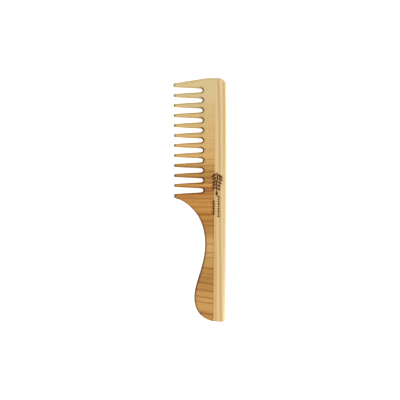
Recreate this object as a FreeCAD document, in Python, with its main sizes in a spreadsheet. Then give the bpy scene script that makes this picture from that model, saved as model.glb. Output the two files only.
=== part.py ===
import FreeCAD, Part
import math
import os
import Sketcher

# Wide tooth comb, millimetres.
# X runs along the comb, with the toothed end at -X and the handle at +X.
# The teeth point to -Y and the back is at +Y. The comb lies flat, its rest face at Z = 0.
# The origin is the middle of the comb's box, on the rest face.
# "Toe" is the toothed end and "heel" is the end of the handle.

# Driving dimensions: name, value, what it is.
SIZES = [
    ("tooth_count", 12, "teeth in the row"),
    ("tooth_pitch", 8.0, "from one tooth to the next"),
    ("tooth_length", 23.5, "from the tips to the end of a gap"),
    ("tip_radius", 1.35, "round end of a tooth, seen from above"),
    ("gullet_radius", 1.65, "round end of a gap"),
    ("row_lean", 0.9, "degrees between the row of tips and the back"),
    ("toe_guard", 1.85, "first tooth's middle to its outer corner"),
    ("heel_guard", 2.35, "last tooth's middle to its outer corner"),
    ("guard_round", 1.8, "outer corners of the first and last teeth"),
    ("band_width", 10.2, "solid wood between the gaps and the glue line"),
    ("spine_width", 10.3, "long-grained strip along the back"),
    ("handle_length", 100.7, "last tooth's middle to the end of the handle"),
    ("toe_lean", 9.0, "degrees that the toe leans in towards the tips"),
    ("toe_straight", 16.0, "upright part of the toe, below the back"),
    ("toe_bend", 30.0, "radius where the toe starts to lean"),
    ("toe_corner", 7.0, "corner of the toe and the back"),
    ("heel_corner", 2.5, "corner of the heel and the back"),
    ("back_bow", 0.8, "rise of the back at the middle of its length"),
    ("thickness", 9.0, "whole comb, at the back and the handle"),
    ("tip_thickness", 5.0, "thickness at the tips"),
    ("taper_length", 17.8, "stretch over which the faces thin towards the tips"),
    ("edge_round", 1.2, "rounding along every outer edge"),
    ("tongue_thickness", 3.0, "tongue of the glued joint"),
    ("tongue_depth", 4.0, "how far the tongue goes into the spine"),
    ("glue_room", 0.2, "room for glue past the tongue's edge"),
    ("shoulder_rise", 5.0, "straight start of the handle's curve"),
    ("cove_along", 12.65, "cove's control point, from the last tooth's middle"),
    ("cove_down", 21.1, "the same point, below the back"),
    ("neck_along", 40.25, "neck's control point, from the last tooth's middle"),
    ("neck_down", 15.4, "the same point, below the back"),
    ("waist_down", 21.4, "control point between neck and bulb, below the back"),
    ("bulb_inset", 15.2, "bulb's control point, from the end of the handle"),
    ("bulb_down", 29.2, "the same point, below the back"),
    ("heel_down", 18.6, "control point where the heel turns upright, below the back"),
    ("end_down", 5.3, "where the handle's curve meets the straight heel, below the back"),
]

# Values worked out from the driving dimensions.
PLACES = [
    ("lean", "dims.row_lean * 1 deg / 1 rad"),
    ("half_width", "(dims.tooth_length + dims.band_width + dims.spine_width) / 2"),
    ("glue_line", "places.half_width - dims.spine_width"),
    ("row_length", "dims.tooth_pitch * (dims.tooth_count - 1)"),
    ("row_run", "places.row_length * cos(places.lean * 1 rad)"),
    ("row_rise", "places.row_length * sin(places.lean * 1 rad)"),
    ("toe_run", "(2 * places.half_width - dims.toe_straight) * tan(dims.toe_lean * 1 deg)"),
    ("half_length", "(places.toe_run + dims.toe_guard + places.row_run + dims.handle_length) / 2"),
    ("first_x", "-places.half_length + places.toe_run + dims.toe_guard"),
    ("first_y", "-places.half_width"),
    ("last_x", "places.first_x + places.row_run"),
    ("last_y", "places.first_y + places.row_rise"),
    ("back_end", "places.half_width - dims.back_bow"),
    ("back_radius", "(places.half_length ^ 2 + dims.back_bow ^ 2) / (2 * dims.back_bow)"),
    ("taper_line", "places.first_y + dims.taper_length"),
    ("face_drop", "(dims.thickness - dims.tip_thickness) / 2"),
    ("taper_radius", "(dims.taper_length ^ 2 + places.face_drop ^ 2) / (2 * places.face_drop)"),
    ("tongue_low", "(dims.thickness - dims.tongue_thickness) / 2"),
    ("tongue_high", "(dims.thickness + dims.tongue_thickness) / 2"),
    ("tongue_edge", "places.glue_line + dims.tongue_depth"),
    ("groove_end", "places.tongue_edge + dims.glue_room"),
    ("gullet_up", "dims.tooth_length - dims.gullet_radius"),
]

# Corners and control points of the outline, seen from above: name, X, Y.
POINTS = [
    ("toe_tip", "places.first_x - dims.toe_guard * cos(places.lean * 1 rad)",
     "places.first_y - dims.toe_guard * sin(places.lean * 1 rad)"),
    ("heel_tip", "places.last_x + dims.heel_guard * cos(places.lean * 1 rad)",
     "places.last_y + dims.heel_guard * sin(places.lean * 1 rad)"),
    ("shoulder", "places.heel_tip_x", "places.heel_tip_y + dims.shoulder_rise"),
    ("cove", "places.last_x + dims.cove_along", "places.half_width - dims.cove_down"),
    ("neck", "places.last_x + dims.neck_along", "places.half_width - dims.neck_down"),
    ("bulb", "places.half_length - dims.bulb_inset", "places.half_width - dims.bulb_down"),
    ("waist", "(places.neck_x + places.bulb_x) / 2", "places.half_width - dims.waist_down"),
    ("heel", "places.half_length", "places.half_width - dims.heel_down"),
    ("end", "places.half_length", "places.half_width - dims.end_down"),
    ("heel_back", "places.half_length", "places.back_end"),
    ("toe_back", "-places.half_length", "places.back_end"),
    ("toe_break", "-places.half_length", "places.half_width - dims.toe_straight"),
]

HANDLE_CURVE = ["heel_tip", "shoulder", "cove", "neck", "waist", "bulb", "heel", "end"]

OVERRUN = 2.0    # room that a cut is given outside the wood
OVERLAP = 0.3    # how far neighbouring gap cuts overlap, clear of the teeth
TOUCH = 0.001    # points nearer than this are the same point


def make_sheet(doc):
    sheet = doc.addObject("Spreadsheet::Sheet", "dims")
    for row, (name, value, note) in enumerate(SIZES, start=1):
        sheet.set("A%d" % row, name)
        sheet.set("B%d" % row, str(value))
        sheet.set("C%d" % row, note)
        sheet.setAlias("B%d" % row, name)
    doc.recompute()
    return sheet


def make_places(doc):
    places = doc.addObject("App::VarSet", "places")
    rules = list(PLACES)
    for name, across, up in POINTS:
        rules.append((name + "_x", across))
        rules.append((name + "_y", up))
    for name, rule in rules:
        places.addProperty("App::PropertyFloat", name)
        places.setExpression(name, rule)
        doc.recompute()
    return places


def point_of(places, name):
    return FreeCAD.Vector(getattr(places, name + "_x"), getattr(places, name + "_y"), 0)


def attach_sketch(body, name, role):
    sketch = body.newObject("Sketcher::SketchObject", name)
    plane = next(item for item in body.Origin.OriginFeatures if item.Role == role)
    sketch.AttachmentSupport = [(plane, "")]
    sketch.MapMode = "FlatFace"
    return sketch


def set_distance(sketch, kind, curve, end, rule):
    """Dimension one point of a sketch from its origin, bound to a rule."""
    spot = sketch.getPoint(curve, end)
    value = spot.x if kind == "DistanceX" else spot.y
    index = sketch.addConstraint(Sketcher.Constraint(kind, -1, 1, curve, end, value))
    sketch.setExpression("Constraints[%d]" % index, rule)


def set_point(sketch, curve, end, across, up):
    set_distance(sketch, "DistanceX", curve, end, across)
    set_distance(sketch, "DistanceY", curve, end, up)


def set_radius(sketch, curve, rule):
    radius = sketch.Geometry[curve].Radius
    index = sketch.addConstraint(Sketcher.Constraint("Radius", curve, radius))
    sketch.setExpression("Constraints[%d]" % index, rule)


def join(sketch, kind, first, second):
    """Join the end of one curve to the start of the next."""
    sketch.addConstraint(Sketcher.Constraint(kind, first, 2, second, 1))


def draw_outline(body, places):
    """Outline of the whole comb from above, before the gaps are cut."""
    sketch = attach_sketch(body, body.Name + "_outline", "XY_Plane")
    spot = {name: point_of(places, name) for name, across, up in POINTS}
    tips = sketch.addGeometry(Part.LineSegment(spot["toe_tip"], spot["heel_tip"]), False)
    curve = Part.BSplineCurve([spot[name] for name in HANDLE_CURVE], None, None, False, 3, None, False)
    handle = sketch.addGeometry(curve, False)
    heel = sketch.addGeometry(Part.LineSegment(spot["end"], spot["heel_back"]), False)
    crest = FreeCAD.Vector(0, places.half_width, 0)
    back = sketch.addGeometry(Part.Arc(spot["heel_back"], crest, spot["toe_back"]), False)
    toe = sketch.addGeometry(Part.LineSegment(spot["toe_back"], spot["toe_break"]), False)
    lean = sketch.addGeometry(Part.LineSegment(spot["toe_break"], spot["toe_tip"]), False)
    loop = [tips, handle, heel, back, toe, lean]
    for first, second in zip(loop, loop[1:] + loop[:1]):
        join(sketch, "Coincident", first, second)
    for line, start in ((tips, "toe_tip"), (heel, "end"), (toe, "toe_back"), (lean, "toe_break")):
        set_point(sketch, line, 1, "places.%s_x" % start, "places.%s_y" % start)
    set_point(sketch, tips, 2, "places.heel_tip_x", "places.heel_tip_y")
    set_point(sketch, heel, 2, "places.heel_back_x", "places.heel_back_y")
    set_radius(sketch, back, "places.back_radius")
    poles = len(sketch.Geometry)
    sketch.exposeInternalGeometry(handle)
    for offset, name in enumerate(HANDLE_CURVE[1:-1], start=1):
        set_point(sketch, poles + offset, 3, "places.%s_x" % name, "places.%s_y" % name)
    return sketch


def round_upright(doc, body, places, corners, size):
    """Round the upright edges that stand at the named corners."""
    base = body.Tip
    picked = []
    for number, edge in enumerate(base.Shape.Edges, start=1):
        low = edge.Vertexes[0].Point
        high = edge.Vertexes[-1].Point
        upright = math.hypot(low.x - high.x, low.y - high.y) < TOUCH
        for name in corners:
            spot = point_of(places, name)
            if upright and math.hypot(low.x - spot.x, low.y - spot.y) < TOUCH:
                picked.append("Edge%d" % number)
    fillet = body.newObject("PartDesign::Fillet", "%s_%s" % (body.Name, size))
    fillet.Base = (base, picked)
    fillet.setExpression("Radius", "dims." + size)
    doc.recompute()


def make_blank(doc, body, places):
    """The comb's whole outline at full thickness, its upright corners rounded."""
    sketch = draw_outline(body, places)
    blank = body.newObject("PartDesign::Pad", body.Name + "_blank")
    blank.Profile = sketch
    blank.setExpression("Length", "dims.thickness")
    doc.recompute()
    round_upright(doc, body, places, ["toe_tip", "heel_tip"], "guard_round")
    round_upright(doc, body, places, ["toe_break"], "toe_bend")
    round_upright(doc, body, places, ["toe_back"], "toe_corner")
    round_upright(doc, body, places, ["heel_back"], "heel_corner")


def draw_loop(sketch, corners):
    """A closed loop of straight lines through points given as (across, up, rule, rule)."""
    first = len(sketch.Geometry)
    count = len(corners)
    for index, here in enumerate(corners):
        after = corners[(index + 1) % count]
        start = FreeCAD.Vector(here[0], here[1], 0)
        stop = FreeCAD.Vector(after[0], after[1], 0)
        sketch.addGeometry(Part.LineSegment(start, stop), False)
    for index in range(count):
        join(sketch, "Coincident", first + index, first + (index + 1) % count)
    for index, corner in enumerate(corners):
        set_point(sketch, first + index, 1, corner[2], corner[3])


def cut_through(doc, body, name, sketch):
    """Cut a profile right through the wood, both ways from its plane."""
    before = body.Tip.Shape.Volume
    pocket = body.newObject("PartDesign::Pocket", name)
    pocket.Profile = sketch
    pocket.Type = "ThroughAll"
    pocket.Midplane = True
    doc.recompute()
    if pocket.Shape.Volume > before - 1:
        raise RuntimeError(name + " cut nothing")
    return pocket


def draw_gap(body, sheet, places):
    """One gap, drawn in the row's own frame: the first tooth's tip is at its origin."""
    sketch = attach_sketch(body, "gap_outline", "XY_Plane")
    sketch.setExpression(".AttachmentOffset.Base.x", "places.first_x")
    sketch.setExpression(".AttachmentOffset.Base.y", "places.first_y")
    sketch.setExpression(".AttachmentOffset.Rotation.Angle", "dims.row_lean * 1 deg")
    pitch = sheet.tooth_pitch
    tip = sheet.tip_radius
    gullet = sheet.gullet_radius
    reach = places.gullet_up - tip
    wall = math.atan2(pitch / 2, reach) - math.asin((tip + gullet) / math.hypot(pitch / 2, reach))
    quarter = math.pi / 2

    def add_line(start, stop):
        return sketch.addGeometry(Part.LineSegment(start, stop), False)

    def add_arc(across, up, radius, start, stop):
        circle = Part.Circle(FreeCAD.Vector(across, up, 0), FreeCAD.Vector(0, 0, 1), radius)
        return sketch.addGeometry(Part.ArcOfCircle(circle, start, stop), False)

    left = add_arc(0, tip, tip, -quarter, -wall)
    right = add_arc(pitch, tip, tip, 2 * quarter + wall, 3 * quarter)
    top = add_arc(pitch / 2, places.gullet_up, gullet, wall, 2 * quarter - wall)
    rise = add_line(sketch.getPoint(left, 2), sketch.getPoint(top, 2))
    fall = add_line(sketch.getPoint(top, 1), sketch.getPoint(right, 1))
    near_top = FreeCAD.Vector(-OVERLAP, 0, 0)
    near_low = FreeCAD.Vector(-OVERLAP, -OVERRUN, 0)
    far_low = FreeCAD.Vector(pitch + OVERLAP, -OVERRUN, 0)
    far_top = FreeCAD.Vector(pitch + OVERLAP, 0, 0)
    near = add_line(FreeCAD.Vector(0, 0, 0), near_top)
    down = add_line(near_top, near_low)
    along = add_line(near_low, far_low)
    up = add_line(far_low, far_top)
    far = add_line(far_top, FreeCAD.Vector(pitch, 0, 0))
    tangents = [
        (left, 2, rise, 1),
        (rise, 2, top, 2),
        (top, 1, fall, 1),
        (fall, 2, right, 1),
        (near, 1, left, 1),
        (right, 2, far, 2),
    ]
    for first, first_end, second, second_end in tangents:
        sketch.addConstraint(Sketcher.Constraint("Tangent", first, first_end, second, second_end))
    for first, second in ((near, down), (down, along), (along, up), (up, far)):
        join(sketch, "Coincident", first, second)
    for line in (near, along, far):
        sketch.addConstraint(Sketcher.Constraint("Horizontal", line))
    for line in (down, up):
        sketch.addConstraint(Sketcher.Constraint("Vertical", line))
    set_point(sketch, left, 3, "0", "dims.tip_radius")
    set_point(sketch, right, 3, "dims.tooth_pitch", "dims.tip_radius")
    set_point(sketch, top, 3, "dims.tooth_pitch / 2", "places.gullet_up")
    set_radius(sketch, left, "dims.tip_radius")
    set_radius(sketch, right, "dims.tip_radius")
    set_radius(sketch, top, "dims.gullet_radius")
    set_point(sketch, along, 1, "-%s" % OVERLAP, "-%s" % OVERRUN)
    set_distance(sketch, "DistanceX", along, 2, "dims.tooth_pitch + %s" % OVERLAP)
    return sketch


def cut_gaps(doc, body, sheet, places):
    """The row of gaps that leaves the teeth."""
    sketch = draw_gap(body, sheet, places)
    gap = cut_through(doc, body, "gap", sketch)
    row = body.newObject("PartDesign::LinearPattern", "gap_row")
    row.Originals = [gap]
    row.Direction = (sketch, ["H_Axis"])
    row.Mode = "Spacing"
    row.setExpression("Offset", "dims.tooth_pitch")
    row.setExpression("Occurrences", "dims.tooth_count - 1")
    body.Tip = row
    doc.recompute()


def thin_teeth(doc, body, sheet, places):
    """Both faces curve in towards the tips, on a large arc tangent to each face."""
    sketch = attach_sketch(body, "taper_outline", "YZ_Plane")
    radius = places.taper_radius
    start = places.taper_line
    outside = places.first_y - OVERRUN
    reach = math.asin((start - outside) / radius)
    for side, face, rule in ((1, 0, "0"), (-1, sheet.thickness, "dims.thickness")):
        middle = FreeCAD.Vector(start, face + side * radius, 0)
        circle = Part.Circle(middle, FreeCAD.Vector(0, 0, 1), radius)
        foot = -side * math.pi / 2
        sweep = (foot - reach, foot) if side > 0 else (foot, foot + reach)
        near, far = (2, 1) if side > 0 else (1, 2)
        arc = sketch.addGeometry(Part.ArcOfCircle(circle, sweep[0], sweep[1]), False)
        near_corner = FreeCAD.Vector(start, face - side * OVERRUN, 0)
        far_corner = FreeCAD.Vector(outside, face - side * OVERRUN, 0)
        drop = sketch.addGeometry(Part.LineSegment(sketch.getPoint(arc, far), far_corner), False)
        along = sketch.addGeometry(Part.LineSegment(far_corner, near_corner), False)
        rise = sketch.addGeometry(Part.LineSegment(near_corner, sketch.getPoint(arc, near)), False)
        sketch.addConstraint(Sketcher.Constraint("Coincident", arc, far, drop, 1))
        sketch.addConstraint(Sketcher.Constraint("Coincident", rise, 2, arc, near))
        join(sketch, "Coincident", drop, along)
        join(sketch, "Coincident", along, rise)
        sketch.addConstraint(Sketcher.Constraint("Vertical", drop))
        sketch.addConstraint(Sketcher.Constraint("Vertical", rise))
        set_point(sketch, arc, 3, "places.taper_line", "%s + %d * places.taper_radius" % (rule, side))
        set_radius(sketch, arc, "places.taper_radius")
        edge = "%s - %d * %s" % (rule, side, OVERRUN)
        set_point(sketch, along, 1, "places.first_y - %s" % OVERRUN, edge)
        set_distance(sketch, "DistanceX", along, 2, "places.taper_line")
        sketch.addConstraint(Sketcher.Constraint("Horizontal", along))
    cut_through(doc, body, "tooth_taper", sketch)


def cut_joint(doc, body, sheet, places, outer, outer_rule, depth, depth_rule):
    """Cut a blank back to the glue line, round a tongue or into a groove of the given depth.

    The section lies across the comb. outer is the side that is cut away.
    """
    sketch = attach_sketch(body, body.Name + "_joint", "YZ_Plane")
    over = sheet.thickness + OVERRUN
    over_rule = "dims.thickness + %s" % OVERRUN
    under_rule = "-%s" % OVERRUN
    low = (places.tongue_low, "places.tongue_low")
    high = (places.tongue_high, "places.tongue_high")
    glue = (places.glue_line, "places.glue_line")
    corners = [
        (outer, -OVERRUN, outer_rule, under_rule),
        (glue[0], -OVERRUN, glue[1], under_rule),
        (glue[0], low[0], glue[1], low[1]),
        (depth, low[0], depth_rule, low[1]),
        (depth, high[0], depth_rule, high[1]),
        (glue[0], high[0], glue[1], high[1]),
        (glue[0], over, glue[1], over_rule),
        (outer, over, outer_rule, over_rule),
    ]
    draw_loop(sketch, corners)
    cut_through(doc, body, body.Name + "_glue_face", sketch)


def round_rims(doc, body):
    """Round every edge between a face of the comb and its outline."""
    base = body.Tip
    picked = []
    for number, edge in enumerate(base.Shape.Edges, start=1):
        middle = edge.valueAt((edge.FirstParameter + edge.LastParameter) / 2)
        flatness = []
        for face in base.Shape.ancestorsOfType(edge, Part.Face):
            across, up = face.Surface.parameter(middle)
            flatness.append(abs(face.normalAt(across, up).z))
        if max(flatness) > 0.9 and min(flatness) < 0.1:
            picked.append("Edge%d" % number)
    fillet = body.newObject("PartDesign::Fillet", body.Name + "_rims")
    fillet.Base = (base, picked)
    fillet.setExpression("Radius", "dims.edge_round")
    doc.recompute()


def make_tooth_panel(doc, sheet, places):
    """Cross-grained piece: the teeth, the band behind them and the handle."""
    body = doc.addObject("PartDesign::Body", "tooth_panel")
    make_blank(doc, body, places)
    cut_gaps(doc, body, sheet, places)
    thin_teeth(doc, body, sheet, places)
    round_rims(doc, body)
    outer = places.half_width + OVERRUN
    outer_rule = "places.half_width + %s" % OVERRUN
    cut_joint(doc, body, sheet, places, outer, outer_rule, places.tongue_edge, "places.tongue_edge")
    return body


def make_spine_strip(doc, sheet, places):
    """Long-grained strip along the whole back, grooved to take the panel's tongue."""
    body = doc.addObject("PartDesign::Body", "spine_strip")
    make_blank(doc, body, places)
    round_rims(doc, body)
    outer = places.first_y - OVERRUN
    outer_rule = "places.first_y - %s" % OVERRUN
    cut_joint(doc, body, sheet, places, outer, outer_rule, places.groove_end, "places.groove_end")
    return body


def check_document(doc, pieces):
    for item in doc.Objects:
        if "Invalid" in item.State or "Error" in item.State:
            raise RuntimeError("%s is %s" % (item.Name, item.State))
    for piece in pieces:
        if piece.Shape.isNull() or not piece.Shape.isValid():
            raise RuntimeError(piece.Label + " has no valid shape")
        if len(piece.Shape.Solids) != 1:
            raise RuntimeError(piece.Label + " is not one solid")


def main():
    doc = FreeCAD.newDocument("wide_tooth_comb")
    sheet = make_sheet(doc)
    places = make_places(doc)
    pieces = [make_tooth_panel(doc, sheet, places), make_spine_strip(doc, sheet, places)]
    doc.recompute()
    check_document(doc, pieces)
    os.makedirs("parts", exist_ok=True)
    for piece in pieces:
        piece.Shape.exportStep("parts/%s.step" % piece.Label)
        print(piece.Label, "volume %.1f mm3" % piece.Shape.Volume)


main()
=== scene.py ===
import math
import bpy
import bmesh
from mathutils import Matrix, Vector, bvhtree, geometry, kdtree


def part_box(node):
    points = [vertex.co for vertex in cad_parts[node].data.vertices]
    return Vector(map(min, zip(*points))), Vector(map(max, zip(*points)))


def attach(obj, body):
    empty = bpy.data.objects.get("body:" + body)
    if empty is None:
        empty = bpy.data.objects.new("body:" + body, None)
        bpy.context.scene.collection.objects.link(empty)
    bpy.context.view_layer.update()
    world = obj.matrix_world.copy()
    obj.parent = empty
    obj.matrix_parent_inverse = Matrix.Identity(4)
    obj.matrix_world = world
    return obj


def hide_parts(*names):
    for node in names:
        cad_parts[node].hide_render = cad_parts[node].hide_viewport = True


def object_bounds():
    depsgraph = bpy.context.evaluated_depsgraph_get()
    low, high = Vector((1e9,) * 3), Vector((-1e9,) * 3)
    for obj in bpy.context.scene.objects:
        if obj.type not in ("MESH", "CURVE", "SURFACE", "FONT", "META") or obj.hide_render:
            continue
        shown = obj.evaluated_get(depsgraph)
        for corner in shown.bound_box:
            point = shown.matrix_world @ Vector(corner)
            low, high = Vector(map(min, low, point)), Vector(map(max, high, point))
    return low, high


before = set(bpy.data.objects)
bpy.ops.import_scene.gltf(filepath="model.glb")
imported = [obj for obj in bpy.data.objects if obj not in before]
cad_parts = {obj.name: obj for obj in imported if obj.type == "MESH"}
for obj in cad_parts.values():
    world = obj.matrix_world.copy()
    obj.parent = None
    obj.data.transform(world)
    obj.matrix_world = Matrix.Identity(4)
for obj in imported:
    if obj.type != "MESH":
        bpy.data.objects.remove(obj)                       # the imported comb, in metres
cadLow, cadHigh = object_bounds()

# Wide tooth comb: a cross-grained panel holds the teeth and the handle, and a long-grained
# strip is glued along its back.

mm = 0.001
halfLength = (cadHigh.x - cadLow.x) / 2
halfThickness = (cadHigh.z - cadLow.z) / 2
topFace = cadHigh.z
tipLine = cadLow.y
backLine = cadHigh.y
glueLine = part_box("spine_strip")[0].y
print("frame: comb", [round(v / mm, 2) for v in cadHigh - cadLow], "mm")


# Helpers for trees and meshes

# gives a node's sockets their values, each by name or number: a plain value or a link
def feed(sockets, values):
    for key, value in values.items():
        if isinstance(value, bpy.types.NodeSocket):
            value.id_data.links.new(value, sockets[key])
        else:
            sockets[key].default_value = value


# a new node, with its settings made first and then its inputs fed
def addNode(tree, kind, inputs=None, **settings):
    node = tree.nodes.new(kind)
    for key, value in settings.items():
        setattr(node, key, value)
    feed(node.inputs, inputs or {})
    return node


# the tree that the sockets in a formula belong to
def treeOf(*values):
    return next(value.id_data for value in values if isinstance(value, bpy.types.NodeSocket))


def calc(operation, *values, clamp=False):
    inputs = dict(enumerate(values))
    return addNode(treeOf(*values), "ShaderNodeMath", inputs, operation=operation, use_clamp=clamp).outputs[0]


def minus(first, second, clamp=False):
    return calc("SUBTRACT", first, second, clamp=clamp)


def times(product, *factors):
    for factor in factors:
        product = calc("MULTIPLY", product, factor)
    return product


def over(first, second):
    return calc("DIVIDE", first, second)


def timesPlus(first, factor, added, clamp=False):
    return calc("MULTIPLY_ADD", first, factor, added, clamp=clamp)


def spread(value, low, high, newLow=0.0, newHigh=1.0, smooth=False):
    kind = "SMOOTHSTEP" if smooth else "LINEAR"
    node = addNode(value.id_data, "ShaderNodeMapRange", {
        "Value": value, "From Min": low, "From Max": high, "To Min": newLow, "To Max": newHigh},
        interpolation_type=kind, clamp=True)
    return node.outputs["Result"]


def splitVector(vector):
    return addNode(vector.id_data, "ShaderNodeSeparateXYZ", {0: vector}).outputs


def joinVector(x, y, z):
    return addNode(treeOf(x, y, z), "ShaderNodeCombineXYZ", {0: x, 1: y, 2: z}).outputs[0]


def vectorCalc(operation, first, second, output=0):
    tree = treeOf(first, second)
    return addNode(tree, "ShaderNodeVectorMath", {0: first, 1: second}, operation=operation).outputs[output]


def noise(vector, scale, detail, rough=0.5):
    inputs = {"Vector": vector, "Scale": scale, "Detail": detail, "Roughness": rough}
    return addNode(vector.id_data, "ShaderNodeTexNoise", inputs).outputs[0]


def mixColours(first, second, factor, way="MIX"):
    mix = addNode(factor.id_data, "ShaderNodeMix", {
        "Factor": factor, "A": first, "B": second}, data_type="RGBA", blend_type=way)
    return mix.outputs["Result"]


# a tree with named inputs, each given its first value, or the kind of thing that it takes
def newTree(name, kind, inputs, outputs):
    tree = bpy.data.node_groups.new(name, kind)
    for label, value in inputs.items():
        socketKind = {int: "Int", float: "Float", tuple: "Vector"}.get(type(value), value)
        socket = tree.interface.new_socket(label, in_out="INPUT", socket_type=f"NodeSocket{socketKind}")
        if value != socketKind:
            socket.default_value = value
    for label, socketKind in outputs.items():
        tree.interface.new_socket(label, in_out="OUTPUT", socket_type=f"NodeSocket{socketKind}")
    return tree, addNode(tree, "NodeGroupInput").outputs, addNode(tree, "NodeGroupOutput").inputs


# an input called Leaf Width goes with leafWidth in a piece's dictionary
def plainName(label):
    return label[0].lower() + label[1:].replace(" ", "")


def newShapeTree(name, sizes, *labels):
    inputs = {"Geometry": "Geometry"}
    inputs.update((label, sizes[plainName(label)]) for label in labels)
    return newTree(name, "GeometryNodeTree", {**inputs, "Material": "Material"}, {"Geometry": "Geometry"})


# every geometry tree ends the same way: real geometry with its material on
def endTree(shape, material, out):
    tree = shape.id_data
    real = addNode(tree, "GeometryNodeRealizeInstances", {"Geometry": shape})
    paint = addNode(tree, "GeometryNodeSetMaterial", {"Geometry": real.outputs[0], "Material": material})
    feed(out, {"Geometry": paint.outputs[0]})


def newMesh(name, points=(), edges=(), faces=()):
    mesh = bpy.data.meshes.new(name)
    mesh.from_pydata(points, edges, faces)
    return mesh


def newObject(name, mesh):
    thing = bpy.data.objects.new(name, mesh)
    bpy.context.scene.collection.objects.link(thing)
    return thing


def plainMesh(thing):
    bpy.context.view_layer.update()
    ready = thing.evaluated_get(bpy.context.evaluated_depsgraph_get())
    return bpy.data.meshes.new_from_object(ready)


# leaves an object with its modifiers' result as a plain mesh
def settle(thing):
    mesh = plainMesh(thing)
    thing.modifiers.clear()
    thing.data = mesh


def grow(thing, tree, values):
    modifier = thing.modifiers.new(tree.name, "NODES")
    modifier.node_group = tree
    for item in tree.interface.items_tree:
        if item.in_out == "INPUT" and plainName(item.name) in values:
            modifier[item.identifier] = values[plainName(item.name)]
    settle(thing)


def discard(thing):
    bpy.data.objects.remove(thing)


# Camera, light and floor

studio = {
    "lens": 100.0,                      # millimetres, on a 36 mm sensor
    "field": 320.0 * mm,                # what the camera takes in at the comb
    "aim": (0.20 * mm, 0.29 * mm, 6.0 * mm),
    "turn": math.radians(90.5),         # the comb stands upright in the view, back to the right
    "world": 0.62,
    # each light's name, place and size in metres, power in watts and tint
    "lights": (("keyLight", (0.40, 0.62, 0.70), 0.7, 6.2, (1.0, 0.985, 0.96)),
               ("fillLight", (-0.1, -0.35, 0.9), 0.9, 2.1, (1.0, 1.0, 1.0))),
    "floor": (0.93, 0.93, 0.925),
    "floorMottle": 0.985,               # the darker of the floor's two tones against the other
    "floorGlow": 0.78,
    "floorSize": 3.0,
}


white = (1.0, 1.0, 1.0, 1.0)


def placeCamera():
    data = bpy.data.cameras.new("studioCamera")
    data.lens = studio["lens"]
    data.sensor_width = 36.0
    data.clip_start = 0.01
    data.clip_end = 20.0
    camera = newObject("studioCamera", data)
    away = studio["field"] * data.lens / data.sensor_width
    camera.location = Vector(studio["aim"]) + Vector((0, 0, away))
    camera.rotation_euler = (0, 0, studio["turn"])
    bpy.context.scene.camera = camera


def lightRoom():
    world = bpy.data.worlds.new("paleRoom")
    world.use_nodes = True
    tree = world.node_tree
    feed(tree.nodes["Background"].inputs, {"Color": white, "Strength": studio["world"]})
    scene = bpy.context.scene
    scene.world = world
    scene.view_settings.view_transform = "Standard"
    for name, place, size, power, tone in studio["lights"]:
        data = bpy.data.lights.new(name, "AREA")
        data.shape = "DISK"
        data.size = size
        data.energy = power
        data.color = tone
        lamp = newObject(name, data)
        lamp.location = place
        lamp.rotation_euler = (-Vector(place)).to_track_quat("-Z", "Y").to_euler()


# very faint mottling only, so the floor stays plain
def layFloor():
    material = bpy.data.materials.new("paleFloor")
    material.use_nodes = True
    tree = material.node_tree
    place = addNode(tree, "ShaderNodeTexCoord").outputs["Object"]
    dim = [part * studio["floorMottle"] for part in studio["floor"]]
    mottle = noise(place, 60.0, 2.0)
    feed(tree.nodes["Principled BSDF"].inputs, {
        "Base Color": mixColours((*dim, 1.0), (*studio["floor"], 1.0), mottle), "Roughness": 0.9,
        "Specular IOR Level": 0.1, "Emission Color": white, "Emission Strength": studio["floorGlow"]})
    half = studio["floorSize"] / 2
    corners = [(-half, -half, 0), (half, -half, 0), (half, half, 0), (-half, half, 0)]
    mesh = newMesh("studioFloor", corners, faces=[(0, 1, 2, 3)])
    mesh.materials.append(material)
    newObject("studioFloor", mesh)


placeCamera()
lightRoom()
layFloor()
print("studio: camera, light and floor are set")


# The outline: teeth, toothed end, back and handle

teeth = {
    "count": 12,
    "pitch": 8.0 * mm,
    "length": 23.5 * mm,
    "tipRadius": 1.35 * mm,
    "gulletRadius": 1.65 * mm,
    "lean": math.radians(0.9),          # the line of the tips against the back
    "toeGuard": 1.85 * mm,              # wood outside the first tooth's middle
    "heelGuard": 2.35 * mm,             # wood outside the last tooth's middle
    "guardRound": 1.8 * mm,
    "arcSteps": 8,
    "wallSteps": 28,
}

# the handle's control points: along is from the last tooth's middle, down is below the back
handle = {
    "shoulderRise": 5.0 * mm,
    "coveAlong": 12.65 * mm,
    "coveDown": 21.1 * mm,
    "neckAlong": 40.25 * mm,
    "neckDown": 15.4 * mm,
    "waistDown": 21.4 * mm,
    "bulbInset": 15.2 * mm,             # from the end of the handle
    "bulbDown": 29.2 * mm,
    "heelDown": 18.6 * mm,
    "endDown": 5.3 * mm,
    "corner": 2.5 * mm,
    "steps": 42,
}

toe = {
    "lean": math.radians(9.0),          # the toothed end runs inwards towards the tips
    "straight": 16.0 * mm,
    "bend": 30.0 * mm,
    "corner": 7.0 * mm,
}

back = {
    "bow": 0.8 * mm,
    "step": 0.7 * mm,
}


# half a gap's wall angle, where the wall touches both the tip's and the gap's round end
def wallAngle():
    reach = teeth["length"] - teeth["tipRadius"] - teeth["gulletRadius"]
    half = teeth["pitch"] / 2
    both = teeth["tipRadius"] + teeth["gulletRadius"]
    return math.atan2(half, reach) - math.asin(both / math.hypot(half, reach))


def arcPoints(centre, radius, first, last, steps):
    turn = (last - first) / steps
    return [centre + radius * Vector((math.cos(first + turn * i), math.sin(first + turn * i)))
            for i in range(steps + 1)]


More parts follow.
